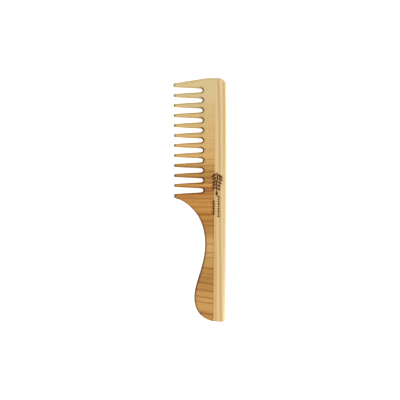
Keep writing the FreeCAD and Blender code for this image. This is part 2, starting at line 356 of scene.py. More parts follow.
# one gap from tooth tip to tooth tip, as a chain of edges that runs along x
def makeGapChain():
    wall = wallAngle()
    quarter = math.pi / 2
    middleOfGap = Vector((teeth["pitch"] / 2, teeth["length"] - teeth["gulletRadius"]))
    nose = arcPoints(Vector((0, teeth["tipRadius"])), teeth["tipRadius"], -quarter, -wall, teeth["arcSteps"])
    vault = arcPoints(middleOfGap, teeth["gulletRadius"], math.pi - wall, quarter, teeth["arcSteps"])
    side = [nose[-1].lerp(vault[0], i / teeth["wallSteps"]) for i in range(1, teeth["wallSteps"])]
    half = nose + side + vault
    points = half + [Vector((teeth["pitch"] - p.x, p.y)) for p in reversed(half[:-1])]
    return newMesh("gapChain", [(*p, 0) for p in points], [(i, i + 1) for i in range(len(points) - 1)])


# repeats the gap along the row, then leans the row and puts it at the first tip
def makeToothRowTree(sizes):
    tree, given, out = newShapeTree("toothRow", sizes, "Gaps", "Pitch", "Lean", "First Tip")
    line = addNode(tree, "GeometryNodeMeshLine", {
        "Count": given["Gaps"], "Offset": joinVector(given["Pitch"], 0.0, 0.0)})
    copies = addNode(tree, "GeometryNodeInstanceOnPoints", {
        "Points": line.outputs[0], "Instance": given["Geometry"]})
    real = addNode(tree, "GeometryNodeRealizeInstances", {"Geometry": copies.outputs[0]})
    merged = addNode(tree, "GeometryNodeMergeByDistance", {
        "Geometry": real.outputs[0], "Distance": 0.01 * mm})
    placed = addNode(tree, "GeometryNodeTransform", {
        "Geometry": merged.outputs[0], "Rotation": joinVector(0.0, 0.0, given["Lean"]),
        "Translation": given["First Tip"]})
    endTree(placed.outputs[0], given["Material"], out)
    return tree


def roundCorner(before, corner, after, radius, steps=8):
    inwards = (before - corner).normalized()
    outwards = (after - corner).normalized()
    half = inwards.angle(outwards) / 2
    centre = corner + (inwards + outwards).normalized() * radius / math.sin(half)
    start = corner + inwards * radius / math.tan(half) - centre
    end = corner + outwards * radius / math.tan(half) - centre
    return [centre + start.slerp(end, i / steps).normalized() * radius for i in range(steps + 1)]


def straightRun(start, end):
    count = max(2, round((end - start).length / back["step"]))
    return [start.lerp(end, i / count) for i in range(1, count)]


def handlePoints(lastTip, heelTip):
    neck = Vector((lastTip.x + handle["neckAlong"], backLine - handle["neckDown"]))
    bulb = Vector((halfLength - handle["bulbInset"], backLine - handle["bulbDown"]))
    poles = [heelTip,
             heelTip + Vector((0, handle["shoulderRise"])),
             Vector((lastTip.x + handle["coveAlong"], backLine - handle["coveDown"])),
             neck,
             Vector(((neck.x + bulb.x) / 2, backLine - handle["waistDown"])),
             bulb,
             Vector((halfLength, backLine - handle["heelDown"])),
             Vector((halfLength, backLine - handle["endDown"]))]
    curve = bpy.data.curves.new("handleLine", "CURVE")
    curve.dimensions = "3D"
    curve.resolution_u = handle["steps"]
    spline = curve.splines.new("NURBS")
    spline.points.add(len(poles) - 1)
    for point, pole in zip(spline.points, poles):
        point.co = (pole.x, pole.y, 0, 1)
    spline.order_u = 4
    spline.use_endpoint_u = True
    line = newObject("handleLine", curve)
    points = [vertex.co.xy.copy() for vertex in plainMesh(line).vertices]
    discard(line)
    return points


# the whole outline from above, counter-clockwise, starting at the first tooth's tip
def drawOutline():
    rowLength = (teeth["count"] - 1) * teeth["pitch"]
    rowWay = Vector((math.cos(teeth["lean"]), math.sin(teeth["lean"])))
    toeRun = (backLine - tipLine - toe["straight"]) * math.tan(toe["lean"])
    firstTip = Vector((-halfLength + toeRun + teeth["toeGuard"], tipLine))
    lastTip = firstTip + rowLength * rowWay
    toeTip = firstTip - teeth["toeGuard"] * rowWay
    heelTip = lastTip + teeth["heelGuard"] * rowWay

    row = newObject("toothRow", makeGapChain())
    sizes = {**teeth, "gaps": teeth["count"] - 1, "firstTip": (firstTip.x, firstTip.y, 0.0)}
    grow(row, makeToothRowTree(sizes), sizes)
    points = sorted((vertex.co.xy.copy() for vertex in row.data.vertices), key=lambda p: p.x)
    discard(row)

    curve = handlePoints(lastTip, heelTip)
    bend = roundCorner(lastTip, heelTip, curve[1], teeth["guardRound"])
    points += bend + [p for p in curve[1:-1] if p.y > bend[-1].y or p.x > bend[-1].x + mm]

    backEnd = backLine - back["bow"]
    radius = (halfLength ** 2 + back["bow"] ** 2) / (2 * back["bow"])
    heelBack = Vector((halfLength, backEnd))
    toeBack = Vector((-halfLength, backEnd))
    alongBack = heelBack - Vector((halfLength, -2 * back["bow"]))
    points += roundCorner(curve[-1], heelBack, alongBack, handle["corner"])
    along = points[-1].x
    toeCorner = roundCorner(toeBack + Vector((halfLength, 2 * back["bow"])), toeBack,
                            Vector((-halfLength, 0)), toe["corner"], 14)
    while along - back["step"] > toeCorner[0].x + back["step"] / 2:
        along -= back["step"]
        points.append(Vector((along, backLine - radius + math.sqrt(radius ** 2 - along ** 2))))
    toeBreak = Vector((-halfLength, backLine - toe["straight"]))
    bend = roundCorner(toeBack, toeBreak, toeTip, toe["bend"])
    points += toeCorner + straightRun(toeCorner[-1], bend[0]) + bend
    corner = roundCorner(toeBreak, toeTip, firstTip, teeth["guardRound"])
    points += straightRun(bend[-1], corner[0]) + corner
    return points


outline = drawOutline()
print("outline:", len(outline), "points")


# The blank: two faces and a rim, rounded over as if by hand

shaping = {
    "ringSteps": 6,                     # steps from the rim to the flat of a face
    "ringRoom": 0.96,                   # how near a ring may come to another wall, in its own distances
    "faceStep": 1.15 * mm,
    "rowPitch": 0.87,                   # in face steps, as is the next one
    "gridRoom": 0.35,                   # between the innermost ring and the grid
    "edgeReach": 2.1 * mm,              # how far in from the outline a face starts to round over
    "toothReach": 1.31 * mm,            # the same at the tips, just short of a tooth's middle
    "edgeDepth": 2.0 * mm,              # how far the rounding goes down
    "tipThickness": 5.0 * mm,
    "taperLength": 17.8 * mm,
    "waviness": 0.05 * mm,              # what sanding by hand leaves on the faces
    "waveScale": 55.0,
    "seed": 3.0,
}


def edgeReachAt(y):
    return min(shaping["edgeReach"], shaping["toothReach"] + max(0.0, y - tipLine) * math.tan(wallAngle()))


# points over the face: the outline, rings that follow it, and a staggered grid between
def facePoints():
    count = len(outline)
    tree = kdtree.KDTree(count)
    for index, point in enumerate(outline):
        tree.insert((*point, 0), index)
    tree.balance()
    points = list(outline)
    for ring in range(1, shaping["ringSteps"] + 1):
        part = 1 - math.cos(math.pi / 2 * ring / shaping["ringSteps"])
        for index, point in enumerate(outline):
            way = outline[(index + 1) % count] - outline[index - 1]
            inwards = Vector((-way.y, way.x)).normalized()
            distance = part * edgeReachAt(point.y)
            spot = point + inwards * distance
            if tree.find((*spot, 0))[2] > distance * shaping["ringRoom"]:
                points.append(spot)
    step = shaping["faceStep"]
    rows = int((backLine - tipLine) / (step * shaping["rowPitch"]))
    for row in range(rows + 1):
        y = tipLine + row * step * shaping["rowPitch"]
        crossings = sorted(
            a.x + (y - a.y) / (b.y - a.y) * (b.x - a.x)
            for a, b in zip(outline, outline[1:] + outline[:1]) if (a.y > y) != (b.y > y))
        for left, right in zip(crossings[::2], crossings[1::2]):
            first = math.ceil(left / step)
            for column in range(first, int(right // step) + 1):
                x = (column + (row % 2) / 2) * step
                room = edgeReachAt(y) + step * shaping["gridRoom"]
                if tree.find((x, y, 0))[2] > room and left < x < right:
                    points.append(Vector((x, y)))
    return points


# two faces back to back, joined by the rim; which face a point is on is kept as an attribute
def makeFlatBlank():
    points = facePoints()
    count = len(outline)
    edges = [(i, (i + 1) % count) for i in range(count)]
    filled = geometry.delaunay_2d_cdt(points, edges, [], 1, 1e-7)
    spots, faces, kept = filled[0], filled[2], filled[3]
    rim = [None] * count
    for index, sources in enumerate(kept):
        for source in sources:
            if source < count:
                rim[source] = index
    total = len(spots)
    flat = [(*p, 0) for p in spots]
    sheets = [tuple(f) for f in faces]
    if (spots[faces[0][1]] - spots[faces[0][0]]).cross(spots[faces[0][2]] - spots[faces[0][0]]) < 0:
        sheets = [tuple(reversed(f)) for f in sheets]
    under = [tuple(i + total for i in reversed(f)) for f in sheets]
    walls = [(rim[b], rim[a], rim[a] + total, rim[b] + total) for a, b in edges]
    mesh = newMesh("combBlank", flat + flat, faces=sheets + under + walls)
    side = mesh.attributes.new("side", "FLOAT", "POINT")
    side.data.foreach_set("value", [1.0] * total + [-1.0] * total)
    return mesh


# gives every point its height: thinner towards the tips, rounded over near the outline
def makeHandRoundedTree(sizes):
    tree, given, out = newShapeTree(
        "handRounded", {**sizes, "outline": "Object"}, "Outline", "Middle", "Half Thickness",
        "Tip Half Thickness", "Tip Line", "Taper Length", "Tooth Reach", "Edge Reach", "Wall Slope",
        "Edge Depth", "Waviness", "Wave Scale", "Seed")
    place = addNode(tree, "GeometryNodeInputPosition").outputs[0]
    x, y, z = splitVector(place)
    side = addNode(tree, "GeometryNodeInputNamedAttribute", {"Name": "side"}, data_type="FLOAT")
    line = addNode(tree, "GeometryNodeObjectInfo", {"Object": given["Outline"]})
    near = addNode(tree, "GeometryNodeProximity", {
        "Geometry": line.outputs["Geometry"], "Sample Position": joinVector(x, y, 0.0)},
        target_element="EDGES")
    distance = near.outputs["Distance"]

    up = minus(y, given["Tip Line"])
    taper = minus(1.0, over(up, given["Taper Length"]), clamp=True)
    thinning = minus(given["Half Thickness"], given["Tip Half Thickness"])
    half = minus(given["Half Thickness"], times(thinning, times(taper, taper)))

    fromTips = calc("MAXIMUM", up, 0.0)
    climb = timesPlus(fromTips, given["Wall Slope"], given["Tooth Reach"])
    reach = calc("MINIMUM", climb, given["Edge Reach"])
    inside = minus(1.0, over(distance, reach), clamp=True)
    level = calc("SQRT", minus(1.0, times(inside, inside)))
    depth = times(given["Edge Depth"], over(half, given["Half Thickness"]))
    drop = times(depth, minus(1.0, level))

    wave = addNode(tree, "ShaderNodeTexNoise", {
        "Vector": joinVector(x, y, side.outputs["Attribute"]), "W": given["Seed"],
        "Scale": given["Wave Scale"], "Detail": 1.0}, noise_dimensions="4D")
    sag = times(wave.outputs[0], given["Waviness"])
    height = minus(minus(half, drop), sag)
    level = timesPlus(height, side.outputs["Attribute"], given["Middle"])
    moved = addNode(tree, "GeometryNodeSetPosition", {
        "Geometry": given["Geometry"], "Position": joinVector(x, y, level)})
    endTree(moved.outputs[0], given["Material"], out)
    return tree


def makeBlank():
    count = len(outline)
    edges = [(i, (i + 1) % count) for i in range(count)]
    edge = newObject("outlineLoop", newMesh("outlineLoop", [(*p, 0) for p in outline], edges))
    blank = newObject("combBlank", makeFlatBlank())
    sizes = {**shaping, "outline": edge, "middle": halfThickness, "halfThickness": halfThickness,
             "tipHalfThickness": shaping["tipThickness"] / 2, "tipLine": tipLine,
             "wallSlope": math.tan(wallAngle())}
    grow(blank, makeHandRoundedTree(sizes), sizes)
    discard(edge)
    return blank


blank = makeBlank()
print("blank:", len(blank.data.vertices), "points,", len(blank.data.polygons), "faces")


# The joint: the blank is parted into the panel and the spine

joint = {
    "tongueThickness": 3.0 * mm,
    "tongueDepth": 4.0 * mm,
    "glueRoom": 0.2 * mm,
    "overrun": 5.0 * mm,
}


# a long block with the given section in y and z
def makeBlock(name, section):
    reach = halfLength + joint["overrun"]
    near = [(-reach, y, z) for y, z in section]
    far = [(reach, y, z) for y, z in section]
    count = len(section)
    faces = [tuple(reversed(range(count))), tuple(range(count, 2 * count))]
    faces += [(i, (i + 1) % count, (i + 1) % count + count, i + count) for i in range(count)]
    return newObject(name, newMesh(name, near + far, faces=faces))


def subtract(thing, cutter, transfer=False):
    cut = thing.modifiers.new("cut", "BOOLEAN")
    cut.operation = "DIFFERENCE"
    cut.solver = "EXACT"
    cut.object = cutter
    if transfer:
        cut.material_mode = "TRANSFER"
    settle(thing)


def closedAndVolume(mesh):
    check = bmesh.new()
    check.from_mesh(mesh)
    closed = all(edge.is_manifold for edge in check.edges)
    volume = check.calc_volume(signed=True)
    check.free()
    return closed, volume


def partBlank():
    low = halfThickness - joint["tongueThickness"] / 2
    high = halfThickness + joint["tongueThickness"] / 2
    past = joint["overrun"]
    tongueEnd = glueLine + joint["tongueDepth"]
    grooveEnd = tongueEnd + joint["glueRoom"]
    above = topFace + past
    behind = backLine + past
    backSide = makeBlock("backSide", [
        (glueLine, -past), (behind, -past), (behind, above), (glueLine, above),
        (glueLine, high), (tongueEnd, high), (tongueEnd, low), (glueLine, low)])
    toothSide = makeBlock("toothSide", [
        (tipLine - past, -past), (glueLine, -past), (glueLine, low), (grooveEnd, low),
        (grooveEnd, high), (glueLine, high), (glueLine, above), (tipLine - past, above)])
    panel = newObject("toothPanelWood", blank.data.copy())
    spine = newObject("spineStripWood", blank.data.copy())
    subtract(panel, backSide)
    subtract(spine, toothSide)
    for thing in (blank, backSide, toothSide):
        discard(thing)
    return panel, spine


panel, spine = partBlank()
print("joint: panel and spine are parted")


# The burnt mark: a sprig and two rows of dashes, sunk into the upper face

mark = {
    "start": (-21.2 * mm, 13.6 * mm),
    "stemLength": 13.2 * mm,
    "stemSway": 0.45 * mm,
    "stemRadius": 0.44 * mm,
    "leafPairs": 5,
    "leafLength": 4.4 * mm,
    "leafWidth": 1.6 * mm,
    "leafAngle": math.radians(50),
    "leafGap": 0.75 * mm,               # from the stem's middle to the foot of a leaf
    "tipShrink": 0.08,                  # how much smaller each pair is than the one before
    "stagger": 0.12,                    # how far a pair's leaves are apart along the stem, in spacings
    "firstPair": 0.25,                  # how far up the stem the first pair sits, in spacings
    "dashPitch": 1.95 * mm,
    "dashLength": 1.45 * mm,
    "dashWidth": 1.0 * mm,
    # x and y of the first dash, how many, and their size against the sizes above
    "rows": ((1.2 * mm, 11.2 * mm, 6, 1.15), (-2.6 * mm, 15.1 * mm, 9, 1.0)),
    "depth": 0.42 * mm,
    "scorch": 0.8 * mm,                 # how far the heat has browned the wood around a stroke
    "scorchTint": (0.42, 0.26, 0.12, 1.0),
    "scorchShare": 0.85,
    "seed": 4,
}


# a closed pod, pointed at both ends: the higher the point, the sharper
def podNodes(tree, length, width, depth, point):
    ball = addNode(tree, "GeometryNodeMeshUVSphere", {"Segments": 18, "Rings": 10, "Radius": 1.0})
    turned = addNode(tree, "GeometryNodeTransform", {
        "Geometry": ball.outputs[0], "Rotation": (0, math.pi / 2, 0)})
    x, y, z = splitVector(addNode(tree, "GeometryNodeInputPosition").outputs[0])
    fall = calc("POWER", minus(1.0, times(x, x), clamp=True), point)
    wide = times(y, fall, times(width, 0.5))
    long = times(x, times(length, 0.5))
    deep = times(z, depth)
    shaped = addNode(tree, "GeometryNodeSetPosition", {
        "Geometry": turned.outputs[0], "Position": joinVector(long, wide, deep)})
    return shaped.outputs[0]


def makeSprigTree(sizes):
    tree, given, out = newShapeTree(
        "burntSprig", sizes, "Stem Length", "Stem Sway", "Stem Radius", "Leaf Pairs", "Leaf Length",
        "Leaf Width", "Leaf Angle", "Leaf Gap", "Tip Shrink", "Stagger", "First Pair", "Depth", "Place")

    line = addNode(tree, "GeometryNodeCurvePrimitiveLine", {
        "End": joinVector(given["Stem Length"], 0.0, 0.0)})
    dense = addNode(tree, "GeometryNodeResampleCurve", {"Curve": line.outputs[0], "Count": 30})
    x = splitVector(addNode(tree, "GeometryNodeInputPosition").outputs[0])[0]
    part = over(x, given["Stem Length"])
    wave = calc("SINE", times(part, math.tau))
    sway = times(wave, given["Stem Sway"])
    swayed = addNode(tree, "GeometryNodeSetPosition", {
        "Geometry": dense.outputs[0], "Offset": joinVector(0.0, sway, 0.0)})
    ring = addNode(tree, "GeometryNodeCurvePrimitiveCircle", {
        "Resolution": 12, "Radius": given["Stem Radius"]})
    stem = addNode(tree, "GeometryNodeCurveToMesh", {
        "Curve": swayed.outputs[0], "Profile Curve": ring.outputs[0], "Fill Caps": True})

    leaf = podNodes(tree, given["Leaf Length"], given["Leaf Width"], given["Depth"], 0.6)
    stations = addNode(tree, "GeometryNodeMeshLine", {"Count": times(given["Leaf Pairs"], 2.0)})
    index = addNode(tree, "GeometryNodeInputIndex").outputs[0]
    pair = calc("FLOOR", over(index, 2.0))
    side = timesPlus(calc("MODULO", index, 2.0), 2.0, -1.0)
    size = minus(1.0, times(pair, given["Tip Shrink"]))
    halfLeaf = times(given["Leaf Length"], 0.5, size)
    spacing = over(given["Stem Length"], given["Leaf Pairs"])
    stagger = times(side, spacing, given["Stagger"])
    foot = calc("ADD", times(calc("ADD", pair, given["First Pair"]), spacing), stagger)
    along = timesPlus(halfLeaf, calc("COSINE", given["Leaf Angle"]), foot)
    footPart = over(foot, given["Stem Length"])
    footWave = calc("SINE", times(footPart, math.tau))
    bend = times(footWave, given["Stem Sway"])
    apart = timesPlus(halfLeaf, calc("SINE", given["Leaf Angle"]), given["Leaf Gap"])
    across = timesPlus(apart, side, bend)
    placed = addNode(tree, "GeometryNodeSetPosition", {
        "Geometry": stations.outputs[0], "Position": joinVector(along, across, 0.0)})
    angle = times(side, given["Leaf Angle"])
    leaves = addNode(tree, "GeometryNodeInstanceOnPoints", {
        "Points": placed.outputs[0], "Instance": leaf, "Rotation": joinVector(0.0, 0.0, angle),
        "Scale": joinVector(size, size, 1.0)})

    # one more leaf in line with the stem, a little clear of its end
    end = timesPlus(given["Leaf Length"], 0.64, given["Stem Length"])
    last = addNode(tree, "GeometryNodeTransform", {
        "Geometry": leaf, "Translation": joinVector(end, 0.0, 0.0)})

    together = addNode(tree, "GeometryNodeJoinGeometry")
    for part in (stem.outputs[0], leaves.outputs[0], last.outputs[0]):
        tree.links.new(part, together.inputs[0])
    moved = addNode(tree, "GeometryNodeTransform", {
        "Geometry": together.outputs[0], "Translation": given["Place"]})
    endTree(moved.outputs[0], given["Material"], out)
    return tree


def makeDashTree(sizes):
    tree, given, out = newShapeTree(
        "burntDashes", sizes, "Dashes", "Dash Pitch", "Dash Length", "Dash Width", "Depth", "Place", "Seed")
    line = addNode(tree, "GeometryNodeMeshLine", {
        "Count": given["Dashes"], "Start Location": given["Place"],
        "Offset": joinVector(given["Dash Pitch"], 0.0, 0.0)})
    turn = addNode(tree, "FunctionNodeRandomValue", {
        2: 0.75, 3: 1.95, "Seed": given["Seed"]}, data_type="FLOAT")
    size = addNode(tree, "FunctionNodeRandomValue", {
        2: 0.75, 3: 1.15, "Seed": calc("ADD", given["Seed"], 1.0)}, data_type="FLOAT")
    pod = podNodes(tree, given["Dash Length"], given["Dash Width"], given["Depth"], 0.1)
    copies = addNode(tree, "GeometryNodeInstanceOnPoints", {
        "Points": line.outputs[0], "Instance": pod, "Rotation": joinVector(0.0, 0.0, turn.outputs[1]),
        "Scale": joinVector(size.outputs[1], 1.0, 1.0)})
    endTree(copies.outputs[0], given["Material"], out)
    return tree


# how near each point of a piece is to a stroke, kept for the browning that its material adds
def scorch(piece, strokes):
    mesh = piece.data
    nearness = []
    for vertex in mesh.vertices:
        distance = strokes.find_nearest(vertex.co)[3]
        nearness.append(max(0.0, 1 - distance / mark["scorch"]))
    mesh.attributes.new("scorch", "FLOAT", "POINT").data.foreach_set("value", nearness)


def emptyObject(name):
    return newObject(name, newMesh(name))


def burnMark(pieces, charred):
    sprig = emptyObject("sprig")
    sizes = {**mark, "place": (*mark["start"], topFace), "material": charred}
    grow(sprig, makeSprigTree(sizes), sizes)
    strokes = [sprig]
    dashTree = makeDashTree({**mark, "dashes": 1, "place": (0.0, 0.0, 0.0)})
    for number, (x, y, count, size) in enumerate(mark["rows"]):
        dashes = emptyObject("dashes")
        sizes = {**mark, "dashes": count, "dashLength": mark["dashLength"] * size,
                 "dashWidth": mark["dashWidth"] * size, "place": (x, y, topFace),
                 "seed": mark["seed"] + number, "material": charred}
        grow(dashes, dashTree, sizes)
        strokes.append(dashes)
    joined = bmesh.new()
    for stroke in strokes:
        joined.from_mesh(stroke.data)
    bmesh.ops.remove_doubles(joined, verts=joined.verts, dist=0.001 * mm)
    bmesh.ops.recalc_face_normals(joined, faces=joined.faces)
    cutter = emptyObject("burntMark")
    joined.to_mesh(cutter.data)
    cutter.data.materials.append(charred)
    surface = bvhtree.BVHTree.FromBMesh(joined)
    joined.free()
    for piece in pieces:
        subtract(piece, cutter, transfer=True)
        scorch(piece, surface)
    for thing in strokes + [cutter]:
        discard(thing)


# Finishes

# a tone as a paint chart gives it, 0 to 255, turned into the light that a surface gives back
def paint(red, green, blue, share=1.0):
    light = []
    for value in (red, green, blue):
        part = value / 255
        light.append(share * (part / 12.92 if part <= 0.04045 else ((part + 0.055) / 1.055) ** 2.4))
    return (*light, 1.0)


def tint(colour, tone, factor):
    return mixColours(colour, tone, factor, "MULTIPLY")


def useGroup(group, values):
    return addNode(treeOf(*values.values()), "ShaderNodeGroup", values, node_tree=group).outputs


# the place with each of its three parts scaled by itself
def scaled(place, alongX, alongY, alongZ=1.0):
    return vectorCalc("MULTIPLY", place, (alongX, alongY, alongZ))


# long streaks, short pores and the small height both give; x runs along the fibres, in mm
def makeFibreGroup():
    inputs = {"Place": (0.0, 0.0, 0.0), "Streak Length": 30.0, "Streak Width": 1.0, "Pore Length": 6.0,
              "Pore Width": 0.3}
    outputs = dict.fromkeys(("Streak", "Pores", "Height"), "Float")
    tree, given, out = newTree("woodFibre", "ShaderNodeTree", inputs, outputs)
    x, y, z = splitVector(given["Place"])

    def stretched(length, width):
        return joinVector(over(x, length), over(y, width), over(z, width))

    broad = noise(stretched(given["Streak Length"], given["Streak Width"]), 1.0, 4.0, 0.6)
    streak = spread(broad, 0.3, 0.7)
    fine = noise(stretched(given["Pore Length"], given["Pore Width"]), 1.0, 2.0)
    pores = spread(fine, 0.60, 0.72, smooth=True)
    hairs = noise(stretched(given["Streak Length"], given["Pore Width"]), 1.0, 2.0)
    ridge = timesPlus(streak, 0.4, times(hairs, 0.6))
    feed(out, {"Streak": timesPlus(minus(hairs, 0.5), 0.5, streak), "Pores": pores,
               "Height": minus(ridge, times(pores, 0.8))})
    return tree


# the dark end of one year's growth: it deepens slowly, then stops short
def makeLateWoodGroup():
    inputs = {"Across": 0.0, "Place": 0.0, "Width": 1.5, "Strength": 1.0}
    tree, given, out = newTree("lateWood", "ShaderNodeTree", inputs, {"Mask": "Float"})
    offset = over(minus(given["Across"], given["Place"]), given["Width"])
    rise = spread(offset, -1.0, 0.0, smooth=True)
    fall = spread(offset, 0.1, 0.55, 1.0, 0.0, smooth=True)
    feed(out, {"Mask": times(rise, fall, given["Strength"])})
    return tree


# where the fibres come out at the surface, and where the surface turns over an edge
def makeEdgeGroup():
    inputs = {"Fibre": (0.0, 0.0, 0.0), "Place": (0.0, 0.0, 0.0)}
    outputs = dict.fromkeys(("End Grain", "Rim", "Shoulder", "Face", "Rubbed", "Specks"), "Float")
    tree, given, out = newTree("woodEdge", "ShaderNodeTree", inputs, outputs)
    facing = addNode(tree, "ShaderNodeTexCoord").outputs["Normal"]
    against = calc("ABSOLUTE", vectorCalc("DOT_PRODUCT", facing, given["Fibre"], output=1))
    upright = calc("ABSOLUTE", splitVector(facing)[2])
    face = spread(upright, 0.15, 0.6, smooth=True)
    specks = noise(given["Place"], 3.2, 2.0, 0.6)
    feed(out, {
        "End Grain": spread(against, 0.15, 0.68, smooth=True),
        "Rim": spread(upright, 0.96, 0.25, smooth=True),
        "Shoulder": spread(upright, 0.995, 0.76, smooth=True), "Face": face,
        # where a face starts to turn over, for a painted highlight
        "Rubbed": times(spread(upright, 0.999, 0.88, smooth=True), face),
        "Specks": spread(specks, 0.5, 0.75)})
    return tree


# hairline scratches in a few patches, as a tool that lives in a drawer gets
def makeScratchGroup():
    inputs = {"Place": (0.0, 0.0, 0.0), "Turn": 0.5, "Amount": 1.0}
    tree, given, out = newTree("fineScratches", "ShaderNodeTree", inputs, {"Mask": "Float"})
    turned = addNode(tree, "ShaderNodeVectorRotate", {
        "Vector": given["Place"], "Angle": given["Turn"]}, rotation_type="Z_AXIS")
    hair = noise(scaled(turned.outputs[0], 0.05, 4.0), 1.0, 1.0, 0.4)
    patch = noise(given["Place"], 0.07, 1.0)
    lines = times(spread(hair, 0.70, 0.76), spread(patch, 0.5, 0.62))
    feed(out, {"Mask": times(lines, given["Amount"])})
    return tree


fibreGroup = makeFibreGroup()
lateWoodGroup = makeLateWoodGroup()
edgeGroup = makeEdgeGroup()
scratchGroup = makeScratchGroup()


# a new material with its object coordinates in millimetres
def startMaterial(name):
    material = bpy.data.materials.new(name)
    material.use_nodes = True
    tree = material.node_tree
    place = addNode(tree, "ShaderNodeMapping", {
        "Scale": (1 / mm,) * 3, "Vector": addNode(tree, "ShaderNodeTexCoord").outputs["Object"]})
    return material, tree.nodes["Principled BSDF"], place.outputs[0]


def addBump(shader, height, distance, strength):
    inputs = {"Strength": strength, "Distance": distance, "Height": height}
    bump = addNode(height.id_data, "ShaderNodeBump", inputs)
    feed(shader.inputs, {"Normal": bump.outputs[0]})


def toneRamp(factor, tones):
    ramp = addNode(factor.id_data, "ShaderNodeValToRGB", {0: factor})
    stops = ramp.color_ramp.elements
    while len(stops) < len(tones):
        stops.new(0.5)
    for stop, (place, tone) in zip(stops, tones):
        stop.position = place
    for stop, (place, tone) in zip(stops, tones):
        stop.color = tone
    return ramp.outputs[0]


def fibresOf(finish, place):
    labels = ("Streak Length", "Streak Width", "Pore Length", "Pore Width")
    sizes = {label: finish[plainName(label)] for label in labels}
    return useGroup(fibreGroup, {"Place": place, **sizes})


def lateWood(across, place, width, strength):
    values = {"Across": across, "Place": place, "Width": width, "Strength": strength}
    return useGroup(lateWoodGroup, values)[0]


def grain(finish, colour, fibre):
    streaks = spread(fibre["Streak"], 0.0, 1.0, 0.0, 0.36)
    colour = tint(colour, finish["streakTint"], streaks)
    return tint(colour, finish["poreTint"], times(fibre["Pores"], finish["poreShare"]))


# darker end grain, with painted shade added on top of it
def darkenEndsAndShade(finish, colour, edge, amount):
    dark = tint(colour, finish["endTint"], spread(edge["Specks"], 0.0, 1.0, 0.75, 1.0))
    return mixColours(colour, dark, amount)


# what both woods get once they have their colour: browning at the mark, shine and height
def oil(shader, finish, place, colour, late, fibre, edge):
    scratch = useGroup(scratchGroup, {
        "Place": place, "Turn": finish["scratchTurn"], "Amount": finish["scratches"]})[0]
    heat = addNode(place.id_data, "ShaderNodeAttribute", attribute_name="scorch").outputs["Fac"]
    colour = tint(colour, mark["scorchTint"], times(heat, mark["scorchShare"]))
    rough = timesPlus(fibre["Streak"], 0.10, finish["roughness"] - 0.05)
    rough = timesPlus(fibre["Pores"], finish["poreRoughness"], rough)
    rough = timesPlus(edge["End Grain"], 0.14, rough)
    rough = timesPlus(edge["Rim"], -finish["rimShine"], rough)
    rough = timesPlus(scratch, 0.2, rough, clamp=True)
    feed(shader.inputs, {"Base Color": colour, "Roughness": rough, "Specular IOR Level": 0.25,
                         "Coat Weight": 0.06, "Coat Roughness": 0.35})
    height = timesPlus(late, finish["ringHeight"], fibre["Height"])
    height = timesPlus(scratch, -0.6, height)
    pits = times(edge["Specks"], edge["End Grain"])
    height = timesPlus(pits, -finish["pitDepth"], height)
    addBump(shader, height, finish["grainDepth"], 0.7)


panelFinish = {
    # colour of the early wood along the comb: mm from the middle, then the tone
    "tones": ((-97, (219, 196, 144)), (-80, (219, 194, 142)), (-66, (218, 187, 127)), (-50, (218, 182, 119)),
              (-34, (218, 176, 108)), (-24, (189, 144, 72)), (-16, (186, 135, 62)), (-12, (208, 155, 78)),
              (-7, (182, 122, 52)), (4, (205, 147, 72)), (19, (180, 128, 52)), (28, (188, 135, 62)),
              (33, (208, 166, 102)), (45, (202, 159, 92)), (57, (190, 140, 68)), (62, (181, 128, 60)),
              (69, (188, 137, 67)), (81, (208, 158, 90)), (87, (200, 152, 84)), (97, (182, 130, 66))),
    # dark ends of the years' growth: mm from the middle, width in mm, strength
    "rings": ((-72, 1.4, 0.15), (-66.5, 1.3, 0.15), (-56, 1.4, 0.25), (-40, 1.5, 0.5), (-32.3, 1.7, 0.7),
              (-27, 1.8, 0.75), (-22.5, 2.0, 0.85), (-17.7, 1.9, 1.15), (-13.7, 1.8, 1.1), (-9.4, 2.1, 1.3),
              (-7.3, 1.7, 1.1), (-4.8, 1.6, 0.7), (-0.9, 1.8, 0.75), (2.2, 1.2, 0.5), (5.9, 1.7, 0.7),
              (11.6, 2.6, 1.2), (16.9, 1.8, 0.8), (20.4, 1.7, 0.7), (26.4, 1.4, 0.35), (35.1, 1.5, 0.9),
              (42.5, 1.5, 0.9), (46.5, 1.3, 0.85), (55.0, 2.0, 1.0), (59.2, 1.4, 0.65), (62.3, 1.3, 0.5),
              (66.4, 1.9, 1.15), (72.4, 1.8, 1.0), (77.8, 1.5, 1.0), (82.0, 1.4, 1.05), (91.0, 2.6, 1.25)),
    "lateTint": (0.66, 0.54, 0.34, 1.0),
    "patchTint": (0.86, 0.76, 0.60, 1.0),
    "streakTint": (0.80, 0.73, 0.62, 1.0),
    "poreTint": (0.74, 0.63, 0.48, 1.0),
    "poreShare": 0.42,
    "glueTint": (0.70, 0.55, 0.38, 1.0),
    "wander": 2.2,                      # how far the rings wander, in mm
    "ripple": 0.9,
    "fineRingPitch": 1.8,
    "fineWander": 2.6,
    "ringSlope": 0.30,                  # how far a ring moves along the comb for each mm of depth
    # end grain tint with painted shade on it; then painted shade on the rim, in the gap ends, at the tips and
    # on the grip
    "endTint": (0.36, 0.29, 0.20, 1.0),
    "rimTint": (0.72, 0.62, 0.48, 1.0),
    "gapTint": (0.44, 0.33, 0.22, 1.0),
    "tipTint": (0.58, 0.64, 0.62, 1.0),
    "gripTint": (0.42, 0.33, 0.24, 1.0),
    "exposure": 0.90,                   # tones above are as lit, so they are taken down by the light
    "roughness": 0.46,
    "poreRoughness": 0.15,
    "rimShine": 0.10,
    "grainDepth": 0.06 * mm,
    "ringHeight": 0.5,                  # against the grain's depth, as is the next one
    "pitDepth": 0.6,
    # the fibres, in mm; a streak is a broad band of them
    "streakLength": 26.0,
    "streakWidth": 1.1,
    "poreLength": 3.2,
    "poreWidth": 0.22,
    "scratchTurn": 0.35,                # radians
    "scratches": 1.0,
}


